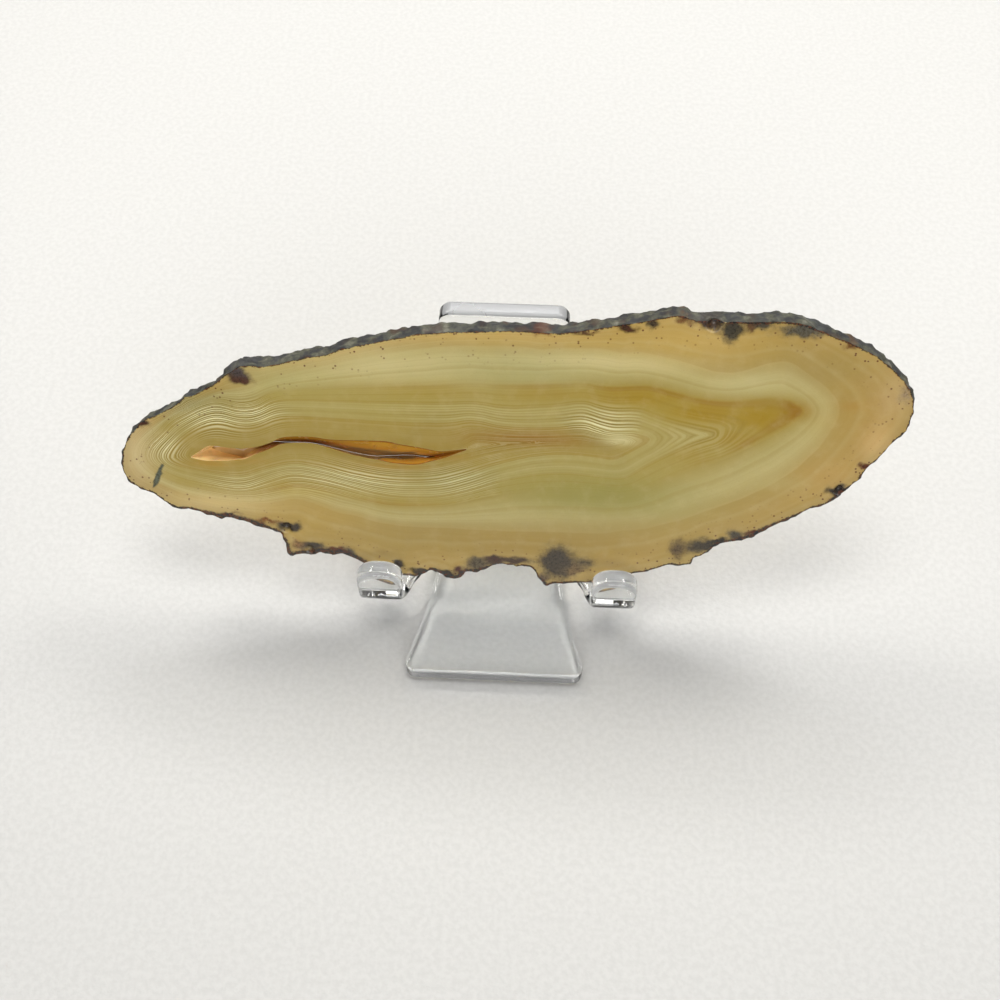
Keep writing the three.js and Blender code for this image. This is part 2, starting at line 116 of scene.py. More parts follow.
# Growth lines of the banding, from the rim inwards: each a closed line, clockwise from its left tip
GROWTH_LINES = [
    OUTLINE,
    # the thin pale line under the rim
    [
        (-68.3, 23.8), (-67.2, 27), (-64, 30.2), (-60, 33), (-56, 35.2), (-50.8, 38.2), (-46.5, 39),
        (-40, 41.6), (-30, 44.3), (-20, 46.8), (-10, 48.6), (0, 49), (4.5, 48.8), (6.5, 48.3), (8.5, 48.8),
        (14, 49.1), (18.6, 48.9), (20.8, 48.1), (23.4, 48.9), (30, 47.3), (35, 45.7), (38, 45), (41, 45),
        (45.5, 46.9), (49, 48), (51.5, 46.9), (54.5, 44.6), (57.3, 42.4), (59.8, 39.6), (58.6, 34.5),
        (56, 29.2), (50, 23.2), (41, 18.2), (33, 14.6), (25, 12), (14, 11.2), (0, 11), (-12, 11.2),
        (-19, 11.4), (-23, 12), (-26.8, 13.4), (-30.5, 13.6), (-34.5, 15.6), (-38, 16.6), (-44, 15),
        (-50, 14.9), (-58, 16), (-63, 18.2), (-67, 20.4),
    ],
    # outside the fine lines on the left, and the golden loop on the right
    [
        (-66.2, 24.4), (-65.2, 27), (-62.4, 29.6), (-60.3, 32.2), (-57, 34), (-54, 35.7), (-50.8, 36.7),
        (-47.5, 35.5), (-44, 36), (-40.8, 38.3), (-36, 38.8), (-30, 39.3), (-20, 40.1), (-10, 40.9),
        (-5, 41.5), (0, 41.2), (10, 41.8), (14.6, 42.3), (17, 41.7), (20, 41.5), (24.8, 42.2), (27.5, 41.8),
        (30, 41.1), (34, 40.1), (38, 39.6), (42, 39.8), (46, 40.5), (49.5, 40.7), (51.8, 39.8), (53.5, 38.2),
        (51.6, 36.4), (49, 34.3), (44.5, 31.2), (41, 29), (35, 26.6), (30, 24), (26, 21.6), (22.5, 20.2),
        (16, 20.8), (8, 20.8), (0, 19.6), (-6, 17.6), (-11, 16.1), (-20, 15.7), (-25, 16.6), (-30, 18),
        (-34, 18.9), (-37.5, 19.2), (-42, 18), (-48, 16.6), (-55, 17.6), (-61, 19), (-65, 21.6),
    ],
    # the outer edge of the bright chevrons
    [
        (-65, 24.3), (-63.8, 26.6), (-61.4, 28.8), (-59.4, 31), (-56.4, 32.8), (-54, 34.2), (-51.1, 35.1),
        (-47.4, 34), (-44, 34.4), (-40.7, 36.6), (-36, 36.8), (-30, 36.9), (-20, 36.9), (-10, 37.1),
        (-5, 37.6), (0, 36.7), (5, 37), (10, 37.5), (14.6, 38.5), (17, 37.5), (20, 36.9), (24.6, 37.2),
        (27, 36), (30, 35.1), (34, 34.2), (39.4, 33.3), (35, 31.4), (30, 28.8), (26, 26), (22.7, 23.2),
        (18, 23.7), (12, 24.3), (6, 23.5), (0, 22), (-6, 19.4), (-12, 17.8), (-18, 17.6), (-23, 18.2),
        (-28, 19.6), (-33, 20.9), (-37.5, 21.6), (-40, 21.2), (-44, 19.4), (-48, 17.8), (-52, 18.3),
        (-58, 19.4), (-62, 21), (-64.3, 22.6),
    ],
    # the inner edge of the bright chevrons
    [
        (-62, 24), (-60.6, 26.2), (-58.2, 28.8), (-55, 31), (-51.4, 32.4), (-47, 31.1), (-44, 31.6),
        (-40.4, 33.5), (-36, 33.7), (-30, 33.6), (-20, 33.1), (-10, 33.2), (-5, 34.3), (0, 33), (5, 32.9),
        (10, 33.2), (14.9, 34), (17.5, 33), (20, 32.3), (24, 32.7), (27.5, 31.6), (23.6, 29), (20.8, 27),
        (18, 27.5), (12, 28.2), (6, 27.4), (0, 25.6), (-6, 23), (-12, 21), (-20, 20.6), (-27, 21.6),
        (-32, 23), (-37, 24), (-40, 23.6), (-44, 22.3), (-48, 20.6), (-55, 21.5), (-60.3, 22.4),
    ],
    # the closing seam round the hollow
    [
        (-57.8, 24.3), (-55, 26.6), (-53, 27.5), (-50, 27.1), (-47, 27), (-44.6, 27.4), (-42, 28.4),
        (-39.6, 29.6), (-34.8, 29.9), (-27, 29.6), (-20.4, 29.6), (-14.6, 28.7), (-10, 28.6), (-6.5, 29.7),
        (-5, 31), (0, 30.6), (8, 30.9), (14.8, 31.5), (17, 30.9), (23, 31), (21, 30.4), (18, 29.9),
        (10, 30.1), (0, 28.6), (-7, 26.4), (-12.5, 24.8), (-18.6, 24.2), (-27, 25.6), (-31, 26.8),
        (-34.8, 27.7), (-39.6, 27.4), (-44.6, 25.1), (-48.3, 23.7), (-53.2, 23.2),
    ],
]
# How far inside the closing seam the pattern goes on changing
SEAM_REACH = 1.6

# Broad soft tints on the face: place, height, reach along and up, colour, strength
TINTS = [
    (-57, 35.5, 8, 3, (140, 134, 90), 0.8), (-40, 41.5, 9, 3, (178, 170, 116), 0.75),
    (-18, 44.5, 20, 4, (203, 192, 142), 0.8), (4, 44, 13, 3.6, (174, 168, 118), 0.8),
    (20, 46.6, 14, 2, (210, 198, 148), 0.75), (45, 43.2, 8, 2.2, (194, 184, 134), 0.8),
    (56, 36, 3.4, 5, (188, 174, 120), 0.6), (48, 23.6, 9, 1.6, (182, 168, 114), 0.6),
    (26, 16.2, 12, 1.6, (172, 160, 106), 0.6), (2, 50.3, 26, 1.5, (198, 172, 108), 0.7),
    (32, 51, 12, 3.2, (196, 168, 102), 0.8), (-67, 25, 4, 8, (206, 187, 143), 0.85),
    (-53, 14.5, 13, 2.6, (208, 186, 132), 0.9), (-36, 11.5, 9, 4.5, (179, 152, 86), 0.75),
    (-36.5, 18, 8, 1.4, (183, 161, 90), 0.7), (-52, 23, 9, 3.4, (161, 141, 80), 0.8),
    (-48, 29, 11, 2.2, (162, 143, 86), 0.7), (-18, 31.5, 14, 2.4, (167, 148, 89), 0.7),
    (-14, 8, 18, 4, (163, 142, 85), 0.6), (18, 19.5, 17, 4.4, (147, 142, 82), 0.9),
    (-10, 22.5, 9, 2.2, (151, 145, 92), 0.6), (22, 12.5, 16, 2.4, (164, 146, 92), 0.6),
    (8, 8, 22, 2.6, (158, 134, 76), 0.6), (39, 37, 13, 2.6, (165, 141, 64), 0.6),
    (5, 30.9, 11, 1.5, (150, 112, 34), 0.95), (52.4, 38.2, 2.6, 1.7, (153, 121, 44), 0.9),
    (62.2, 39.7, 2.4, 0.9, (170, 128, 62), 0.7), (66, 38, 8, 10, (177, 149, 94), 0.7),
    (69, 42, 3, 5, (190, 163, 118), 0.7), (67.5, 32, 3, 4, (206, 174, 122), 0.85),
    (61, 25, 6, 4, (186, 154, 96), 0.7), (57, 47, 9, 4, (161, 141, 89), 0.7),
    (20, 33.4, 4.6, 3.2, (180, 168, 112), 0.8), (21.5, 31.2, 3, 1, (214, 206, 158), 0.9),
    (-53.5, 23.2, 3.6, 0.7, (174, 132, 64), 0.7), (-46, 24, 4, 0.6, (170, 134, 70), 0.5),
    (-19, 24, 7, 0.8, (168, 128, 62), 0.6), (-9, 26.4, 3, 0.8, (168, 134, 70), 0.5),
    (36, 8.5, 9, 4, (172, 148, 88), 0.6),
]

# Where the fine growth lines show: place, height, reach along and up, strength
LINE_PLACES = [
    (18, 34.4, 6.5, 3.2, 1), (-52.5, 33, 8, 3.6, 1), (-61.5, 26.5, 3.6, 3.6, 0.9),
    (-45, 34, 6, 2.6, 1), (-48, 18.8, 7, 2.6, 0.7), (-28, 21, 14, 3.4, 0.85),
    (-8, 21.5, 8, 3.6, 0.65), (36, 32.5, 9, 4, 0.7), (4, 27.5, 9, 3.2, 0.5),
    (-5, 35, 16, 3, 0.3), (4, 31, 10, 2.6, 0.4),
]
# How strongly the lines show everywhere else
LINE_FLOOR = 0.03

# Right of this place, and below this height, the lines go dull: place, how sharply, height, how much
KINK, KINK_SHARP, KINK_LOW, DULL = 24.8, 0.5, 29, 0.62

# Smoke and rust at the rim: place, height, reach along and up, colour, strength
STAINS = [
    (-12, 51.4, 1.8, 0.8, (96, 52, 40), 0.9), (0.6, 52.6, 1.1, 0.6, (112, 48, 32), 0.9),
    (6.6, 51.9, 1.6, 0.7, (150, 62, 22), 1), (13.5, 52, 2.4, 0.5, (110, 74, 48), 0.8),
    (21.2, 53, 1.6, 0.6, (88, 46, 36), 0.9), (25.2, 54, 0.9, 1, (78, 66, 54), 0.9),
    (31, 54.9, 1.3, 1, (150, 96, 48), 0.8), (35.2, 54.6, 1.9, 1, (84, 62, 54), 0.9),
    (36, 54, 1.3, 1.3, (76, 50, 40), 1), (39.4, 53.2, 1.3, 2.2, (84, 80, 68), 1),
    (43.8, 54.6, 1.6, 0.9, (88, 84, 76), 0.9), (42.2, 53.9, 0.8, 0.7, (140, 96, 62), 0.7),
    (51.5, 53.6, 4.6, 1.2, (118, 114, 100), 0.85), (60, 51.2, 1.6, 0.8, (150, 96, 44), 0.9),
    (70.6, 42.6, 1.3, 2.6, (200, 176, 150), 0.5), (65.9, 27.9, 0.9, 0.6, (132, 58, 24), 0.9),
    (61.8, 22.4, 1.9, 0.9, (52, 42, 34), 1), (47.6, 12.5, 1.3, 0.6, (128, 48, 22), 0.95),
    (45.6, 11.3, 1.2, 0.5, (88, 34, 28), 0.95), (44.3, 12.4, 1.2, 0.9, (104, 98, 84), 0.9),
    (38.4, 9.3, 2.6, 1.5, (88, 80, 68), 1), (41.6, 10.5, 2, 0.6, (60, 48, 38), 0.9),
    (33.8, 8.2, 1.6, 2.4, (122, 98, 66), 0.7), (11.4, 4.2, 3, 3.6, (92, 82, 68), 1),
    (14.6, 2.6, 1.5, 0.8, (176, 142, 90), 0.85), (17, 4.4, 2, 1.2, (112, 98, 74), 0.7),
    (8.4, 0.2, 1.2, 1, (150, 124, 98), 0.8), (3, 4.3, 3.2, 0.8, (104, 78, 60), 0.9),
    (-0.8, 4.3, 1.2, 0.9, (92, 44, 34), 0.95), (-4, 3.2, 2.4, 1.4, (128, 112, 84), 0.85),
    (-7.2, 1.2, 0.9, 0.9, (104, 38, 28), 1), (-10, 0.5, 1.8, 0.6, (72, 58, 48), 0.95),
    (-14, 1.2, 2.6, 0.6, (74, 62, 52), 0.95), (-19, 2.6, 0.8, 1, (62, 50, 42), 0.9),
    (-28.6, 4.6, 1.4, 1.1, (112, 100, 82), 0.85), (-31.4, 5.2, 1.3, 0.6, (140, 66, 28), 0.95),
    (-35.6, 5.6, 2.2, 1, (84, 76, 66), 1), (-39.6, 10, 2.2, 0.9, (62, 52, 46), 1),
    (-38.4, 6.4, 1.2, 1, (190, 140, 84), 0.7), (-44, 11.2, 2.6, 0.5, (176, 104, 36), 0.8),
    (-52, 12.4, 3.4, 0.4, (140, 96, 48), 0.7), (-47.2, 42, 2, 1.1, (98, 88, 90), 0.95),
    (-46.4, 40.5, 1.8, 0.8, (106, 58, 44), 0.95), (-65, 31, 1.1, 0.8, (96, 46, 34), 1),
]

# How far the dark crust reaches in from the rim everywhere, and the extra at some places:
# place, height, reach along and up, extra width
CRUST_THIN = 0.38
CRUST_PLACES = [
    (-48, 12, 12, 3, 1), (-32, 4, 11, 4, 1.15), (-8, 1, 9, 3, 0.7), (50, 13, 12, 4, 0.8),
    (62, 21, 5, 4, 0.4), (-66, 18, 6, 4, 0.2), (12, 0, 6, 2, 0.4), (30, 3, 8, 3, 0.3), (46, 54, 14, 3, 0.3),
]

# The grey-green fracture in the left tip: its two ends, its widest half width and its colour
FRACTURE = ((-62.5, 22.6), (-64.8, 17.4), 0.5, (108, 116, 98))

# Grey facets inside the hollow: place along the slice, reach, colour
HOLLOW_GREY = (-22, 7, (140, 122, 86))

# Mesh steps: round the rim, on the faces near the rim, and further in
RIM_STEP = 0.5
FINE_STEP = 0.42
COARSE_STEP = 0.66
FINE_ZONE = 4.2
ROW_SHARE = 0.87
CLEAR_OF_EDGE = 0.3

# Levels between the front face (0) and the back face (1), of the rim and of the hollow's wall
RIM_LEVELS = [0, 0.03, 0.12, 0.24, 0.37, 0.5, 0.63, 0.76, 0.88, 0.97, 1]
WALL_LEVELS = [0, 0.03, 0.15, 0.35, 0.55, 0.75, 0.9, 1]
WALL_STEPS = 5
SKIN_GAP = 0.04
EDGE_ROUNDING = 0.09
# Ripples along the hollow's wall: height, step along it, turn with depth
RIPPLE_HEIGHT, RIPPLE_STEP, RIPPLE_TURN = 0.1, 0.37, 4

# The slab's materials, in the order of their numbers
FACE, RIND, WALL, SKIN = range(4)

# The gloss adds a little white light of its own, so the stone's colours are set deeper under it
GLOSS_HAZE = 0.033
DARKEST = 0.012
STONE_GAIN = 1.46
SMOKE_DEPTH = 0.7

# Smoke and rust: how their spots wander (size, amount, layer), and how much wider they are drawn
RAGGED = (1.5, 0.9, 3.7)
# A fixed seed for their noise, which would else take the clock's
SPOT_SEED = 1796116622
STAIN_REACH = 1.15
CRACK_SOFT, CRACK_COVER = 0.25, 0.85


def linear(colour):
    """An everyday 0 to 255 colour as linear light."""
    shares = [c / 255 for c in colour]
    return tuple(s / 12.92 if s <= 0.04045 else ((s + 0.055) / 1.055) ** 2.4 for s in shares)


def stone(colour):
    """The stone's own colour under its gloss."""
    return tuple(max(c - GLOSS_HAZE, DARKEST) * STONE_GAIN for c in linear(colour))


def smoky(colour):
    """The colour of smoke and rust, a little deeper under the gloss."""
    return tuple(c * SMOKE_DEPTH for c in linear(colour))


def placed(flat, depth):
    """Points of the slice's own plane, with their depths behind the front face, in the row frame."""
    x = flat[:, 0]
    y = FOOT_Y + flat[:, 1] * math.sin(LEAN) + depth * math.cos(LEAN)
    z = FOOT_Z + flat[:, 1] * math.cos(LEAN) - depth * math.sin(LEAN)
    return np.column_stack([x * MM + MIDDLE_X, y * MM + FRONT_Y, z * MM])


def resampled(loop, step):
    """Evenly spaced points round a closed line."""
    points = np.array(loop + [loop[0]], float)
    lengths = np.concatenate([[0], np.cumsum(np.linalg.norm(np.diff(points, axis=0), axis=1))])
    count = round(lengths[-1] / step)
    at = np.arange(count) / count * lengths[-1]
    return np.column_stack([np.interp(at, lengths, points[:, 0]), np.interp(at, lengths, points[:, 1])])


def rounded(loop, rounds=2):
    """A closed line with its corners cut, so that it bends softly."""
    points = np.array(loop, float)
    for _ in range(rounds):
        after = np.roll(points, -1, axis=0)
        points = np.stack([points * 0.75 + after * 0.25, points * 0.25 + after * 0.75], 1).reshape(-1, 2)
    return points


def distance_to(points, loop):
    """How far each point is from a closed line."""
    nearest = np.full(len(points), 1e9)
    after = np.roll(loop, -1, axis=0)
    for start, end in zip(loop, after):
        along = end - start
        share = np.clip((points - start) @ along / max(along @ along, 1e-12), 0, 1)
        gap = points - start - share[:, None] * along
        nearest = np.minimum(nearest, (gap * gap).sum(1))
    return np.sqrt(nearest)


def is_inside(points, loop):
    """Whether each point lies inside a closed line."""
    inside = np.zeros(len(points), bool)
    x, y = points[:, 0], points[:, 1]
    for (ax, ay), (bx, by) in zip(loop, np.roll(loop, -1, axis=0)):
        if ay == by:
            continue
        crosses = ((ay > y) != (by > y)) & (x < (bx - ax) * (y - ay) / (by - ay) + ax)
        inside ^= crosses
    return inside


def rind_noise(around, depth):
    """The rind's waves at each place round the rim."""
    turn = around * 2 * math.pi
    return sum(
        share * np.sin(count * turn + twist * depth + start) for share, count, twist, start in RIND_WAVES
    )


def outward_of(points):
    """The direction away from the slice at each point of a ring."""
    tangent = np.roll(points, -1, axis=0) - np.roll(points, 1, axis=0)
    normal = np.column_stack([-tangent[:, 1], tangent[:, 0]])
    return normal / np.linalg.norm(normal, axis=1)[:, None]


def rim_ring(points, level):
    """The rim at one level between the faces (0 front, 1 back), with its rough rind."""
    x, y = points[:, 0], points[:, 1]
    wavy = rind_noise(np.arange(len(points)) / len(points), level)
    is_between = 0 < level < 1
    swell = RIM_BULGE * math.sin(math.pi * level)
    rough = RIND_HEIGHT * wavy * (1 if level > 0 else FACE_EDGE_SHARE)
    slant = np.where((x < TIP_SLANT_LEFT) & (y > TIP_SLANT_ABOVE), -TIP_SLANT * level, 0)
    lumps = np.array([
        noise.fractal(Vector((u * GRIT_SCALE, v * GRIT_SCALE, level * GRIT_DEPTH_SCALE)), 0.6, 2.1, 4)
        for u, v in points
    ])
    grit = -GRIT_HEIGHT * np.clip(lumps + GRIT_LIFT, 0, GRIT_MOST) * (1 if is_between else 0.5)
    resting = (y < REST_HEIGHT) & (np.abs(x) > REST_INNER) & (np.abs(x) < REST_OUTER)
    offset = np.where(resting, REST_ROUGH * wavy - REST_INSET, swell + rough + slant + grit)
    offset -= 0 if is_between else EDGE_ROUNDING
    return points + outward_of(points) * offset[:, None]


def smooth_through(values, per_step):
    """A soft curve through evenly numbered values."""
    values = np.array(values, float)
    count = len(values)
    padded = np.concatenate([[2 * values[0] - values[1]], values, [2 * values[-1] - values[-2]]])
    at = np.linspace(0, count - 1, (count - 1) * per_step + 1)
    i = np.minimum(at.astype(int), count - 2)
    t = at - i
    a, b, c, d = padded[i], padded[i + 1], padded[i + 2], padded[i + 3]
    return 0.5 * (2 * b + (c - a) * t + (2 * a - 5 * b + 4 * c - d) * t**2 + (3 * b - a - 3 * c + d) * t**3)


def hollow_ring(level):
    """The wall of the hollow at one level: along its upper edge, then back along its lower edge."""
    rows = np.array([smooth_through(column, WALL_STEPS) for column in zip(*HOLLOW)]).T
    front, back = rows[:, :3], rows[:, 3:]
    across = front * (1 - level) + back * level
    gap = np.maximum(across[:, 1] - across[:, 2], SKIN_GAP)
    middle = (across[:, 1] + across[:, 2]) / 2
    if level == 1:
        gap = np.full(len(gap), SKIN_GAP)
    open_out = EDGE_ROUNDING / 2 if level == 0 else 0
    ripple = np.sin(np.arange(len(gap)) * RIPPLE_STEP + level * RIPPLE_TURN)
    wave = RIPPLE_HEIGHT * ripple * np.clip(gap, 0, 1) * math.sin(math.pi * level)
    upper = np.column_stack([across[:, 0], middle + gap / 2 + open_out + wave])
    lower = np.column_stack([across[:, 0], middle - gap / 2 - open_out + wave])
    return np.concatenate([upper, lower[::-1]])


def face_points(rim, hole):
    """Points inside a face, closer together near the rim."""
    low, high = rim.min(0), rim.max(0)
    found = []
    for step, near in ((FINE_STEP, True), (COARSE_STEP, False)):
        rows = np.arange(low[1], high[1], step * ROW_SHARE)
        grid = []
        for number, y in enumerate(rows):
            x = np.arange(low[0] + (number % 2) * step / 2, high[0], step)
            grid.append(np.column_stack([x, np.full(len(x), y)]))
        grid = np.concatenate(grid)
        grid = grid[is_inside(grid, rim) & ~is_inside(grid, hole)]
        to_rim, to_hole = distance_to(grid, rim), distance_to(grid, hole)
        zone = to_rim < FINE_ZONE if near else to_rim >= FINE_ZONE + step / 2
        found.append(grid[zone & (to_rim > CLEAR_OF_EDGE) & (to_hole > CLEAR_OF_EDGE)])
    return np.concatenate(found)


def face_triangles(rim, hole, inner):
    """Triangles over one face, between its rim and the hollow."""
    points = np.concatenate([rim, hole, inner])
    n, m = len(rim), len(hole)
    edges = [(i, (i + 1) % n) for i in range(n)] + [(n + i, n + (i + 1) % m) for i in range(m)]
    result = delaunay_2d_cdt([Vector(p) for p in points], edges, [], 0, 1e-5, True)
    origin = [ids[0] for ids in result[3]]
    faces = np.array([[origin[i] for i in face] for face in result[2]])
    middles = points[faces].mean(1)
    kept = is_inside(middles, rim) & ~is_inside(middles, hole)
    return faces[kept].tolist()


def pit_floor(flat):
    """How deep the pits reach at each place, 0 outside them."""
    deepest = np.zeros(len(flat))
    for u, v, radius in PITS:
        away = np.hypot(flat[:, 0] - u, flat[:, 1] - v)
        bowl = np.sqrt(np.maximum(radius**2 - away**2, 0)) - PIT_LIFT * radius
        deepest = np.maximum(deepest, bowl)
    return deepest


class Shell:
    """The slice's points and faces as they are put together."""

    def __init__(self):
        self.flats, self.depths, self.faces, self.kinds = [], [], [], []
        self.places = {}
        self.total = 0

    def add(self, name, points, level):
        """A named set of points at one level between the faces."""
        self.places[name] = np.arange(self.total, self.total + len(points))
        self.flats.append(points)
        self.depths.append(np.full(len(points), level * THICKNESS))
        self.total += len(points)

    def strip(self, first, second, kind, turned=False):
        """A band of four-sided faces between two rings."""
        a, b = self.places[first].tolist(), self.places[second].tolist()
        for i in range(len(a)):
            j = (i + 1) % len(a)
            quad = (a[i], a[j], b[j], b[i])
            self.faces.append(quad[::-1] if turned else quad)
            self.kinds.append(kind)

    def cover(self, names, triangles, kind):
        """Triangles over several named sets of points, numbered one set after another."""
        number = np.concatenate([self.places[name] for name in names]).tolist()
        for triangle in triangles:
            self.faces.append(tuple(number[i] for i in triangle))
            self.kinds.append(kind)


def slice_mesh():
    """The whole slice: flat points, depths, faces and each face's material number."""
    shell = Shell()
    base = resampled(OUTLINE, RIM_STEP)
    rims = [rim_ring(base, level) for level in RIM_LEVELS]
    walls = [hollow_ring(level) for level in WALL_LEVELS]
    for kind, rings, levels in (("rim", rims, RIM_LEVELS), ("wall", walls, WALL_LEVELS)):
        for number, (ring, level) in enumerate(zip(rings, levels)):
            shell.add((kind, number), ring, level)
    last_rim, last_wall = len(rims) - 1, len(walls) - 1
    sides = (("front", 0, 0, 0), ("back", last_rim, last_wall, 1))
    inner = {name: face_points(rims[rim], walls[wall]) for name, rim, wall, _ in sides}
    for name, _, _, level in sides:
        shell.add(name, inner[name], level)

    for number in range(last_rim):
        shell.strip(("rim", number), ("rim", number + 1), RIND)
    for number in range(last_wall):
        kind = SKIN if number == last_wall - 1 else WALL
        shell.strip(("wall", number), ("wall", number + 1), kind, turned=True)
    for name, rim, wall, _ in sides:
        triangles = face_triangles(rims[rim], walls[wall], inner[name])
        shell.cover((("rim", rim), ("wall", wall), name), triangles, FACE)

    flat = np.concatenate(shell.flats)
    depth = np.maximum(np.concatenate(shell.depths), pit_floor(flat))
    return flat, depth, shell.faces, shell.kinds


def growth_level(flat):
    """How many growth lines lie between a place and the rim, as a smooth number."""
    lines = [np.array(OUTLINE, float)] + [rounded(line) for line in GROWTH_LINES[1:]]
    level = np.zeros(len(flat))
    before = distance_to(flat, lines[0])
    for number, line in enumerate(lines[1:], 1):
        gap = distance_to(flat, line)
        inside = is_inside(flat, line)
        share = before / np.maximum(before + gap, 1e-6)
        level = np.where(inside, number, np.where(level >= number - 1, number - 1 + share, level))
        before = gap
        reached = inside
    level = np.where(reached, number + np.clip(before / SEAM_REACH, 0, 1), level)
    return level


def soft_spot(flat, u, v, reach_u, reach_v):
    """How near each place is to a spot, 1 at its middle and fading softly."""
    away = ((flat[:, 0] - u) / reach_u) ** 2 + ((flat[:, 1] - v) / reach_v) ** 2
    return np.exp(-away)


def wandering(flat, size, amount, layer):
    """The same places, pushed about by soft noise, for ragged edges."""
    noise.seed_set(SPOT_SEED)
    moved = np.empty_like(flat)
    for i, (u, v) in enumerate(flat):
        shift = noise.noise_vector(Vector((u / size, v / size, layer)))
        moved[i] = (u + shift.x * amount, v + shift.y * amount)
    return moved


def painted(flat, spots, tone):
    """Soft spots laid over each other: colour and cover at each place."""
    colour = np.zeros((len(flat), 3))
    cover = np.zeros(len(flat))
    for *place, shade, strength in spots:
        amount = strength * soft_spot(flat, *place)
        left = 1 - amount
        colour = colour * left[:, None] + np.array(tone(shade)) * amount[:, None]
        cover = cover * left + amount
    return np.column_stack([colour / np.maximum(cover, 1e-4)[:, None], cover])


def cracked(flat):
    """How much of the fracture's colour covers each place."""
    start, end, half, _ = FRACTURE
    along = np.array(end) - np.array(start)
    share = np.clip((flat - start) @ along / (along @ along), 0, 1)
    off = np.linalg.norm(flat - start - share[:, None] * along, axis=1)
    width = half * np.sin(math.pi * np.clip(share, 0.02, 0.98)) ** 0.6
    return np.clip((width - off) / CRACK_SOFT + 0.6, 0, 1) * CRACK_COVER


def stained(flat):
    """Smoke, rust and the fracture, with ragged edges: colour and cover at each place."""
    spots = [(u, v, ru * STAIN_REACH, rv * STAIN_REACH, *look) for u, v, ru, rv, *look in STAINS]
    paint = painted(wandering(flat, *RAGGED), spots, smoky)
    crack = cracked(flat)
    crack_shade = np.array(linear(FRACTURE[-1]))
    paint[:, :3] = paint[:, :3] * (1 - crack)[:, None] + crack_shade * crack[:, None]
    paint[:, 3] = np.maximum(paint[:, 3], crack)
    return paint


def strongest(flat, spots, floor=0.0):
    """The strongest of several soft spots at each place."""
    most = np.full(len(flat), floor)
    for *place, strength in spots:
        most = np.maximum(most, strength * soft_spot(flat, *place))
    return most


def line_strength(flat):
    """How strongly the fine growth lines show at each place."""
    beyond = np.clip((flat[:, 0] - KINK) / KINK_SHARP + 0.5, 0, 1)
    low = np.clip(KINK_LOW - flat[:, 1], 0, 1) * (flat[:, 0] > 0)
    return strongest(flat, LINE_PLACES, LINE_FLOOR) * (1 - DULL * np.maximum(beyond, low))


def crust_width(flat):
    """How far the dark crust reaches in from the rim at each place."""
    width = np.full(len(flat), CRUST_THIN)
    for *place, more in CRUST_PLACES:
        width += more * soft_spot(flat, *place)
    return width


def add_attributes(mesh, flat, depth):
    """Everything that the slab's materials read at its points."""
    amounts = {
        "growth": growth_level(flat),
        "lines": line_strength(flat),
        "gold": strongest(flat, GOLD_PLACES),
        "crust": crust_width(flat),
        "edge": distance_to(flat, np.array(OUTLINE, float)),
        "inward": depth / THICKNESS,
        "along": flat[:, 0],
        "up": flat[:, 1],
    }
    colours = {"tint": painted(flat, TINTS, stone), "stain": stained(flat)}
    for kind, field, layers in (("FLOAT", "value", amounts), ("FLOAT_COLOR", "color", colours)):
        for name, values in layers.items():
            layer = mesh.attributes.new(name, kind, "POINT")
            layer.data.foreach_set(field, np.ascontiguousarray(values, np.float32).ravel())


def smooth_faces(mesh):
    """Smooth shading, broken only where one material meets another."""
    work = bmesh.new()
    work.from_mesh(mesh)
    bmesh.ops.recalc_face_normals(work, faces=work.faces)
    for face in work.faces:
        face.smooth = True
    for line in work.edges:
        line.smooth = len({face.material_index for face in line.link_faces}) == 1
    work.to_mesh(mesh)
    work.free()


def make_slice():
    """The slab of stone, with its rind and its hollow."""
    flat, depth, faces, kinds = slice_mesh()
    places = np.clip(placed(flat, depth), np.array(SLICE_LOW), np.array(SLICE_HIGH))
    mesh = bpy.data.meshes.new("agate_slice_finish")
    mesh.from_pydata(places.tolist(), [], faces)
    mesh.polygons.foreach_set("material_index", np.array(kinds, np.int32))
    add_attributes(mesh, flat, depth)
    smooth_faces(mesh)
    for material in (agate_material(), rind_material(), hollow_material(), skin_material()):
        mesh.materials.append(material)
    slab = bpy.data.objects.new("agate_slab", mesh)
    bpy.context.collection.objects.link(slab)
    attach(slab, "root")
    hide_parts("agate_slice")


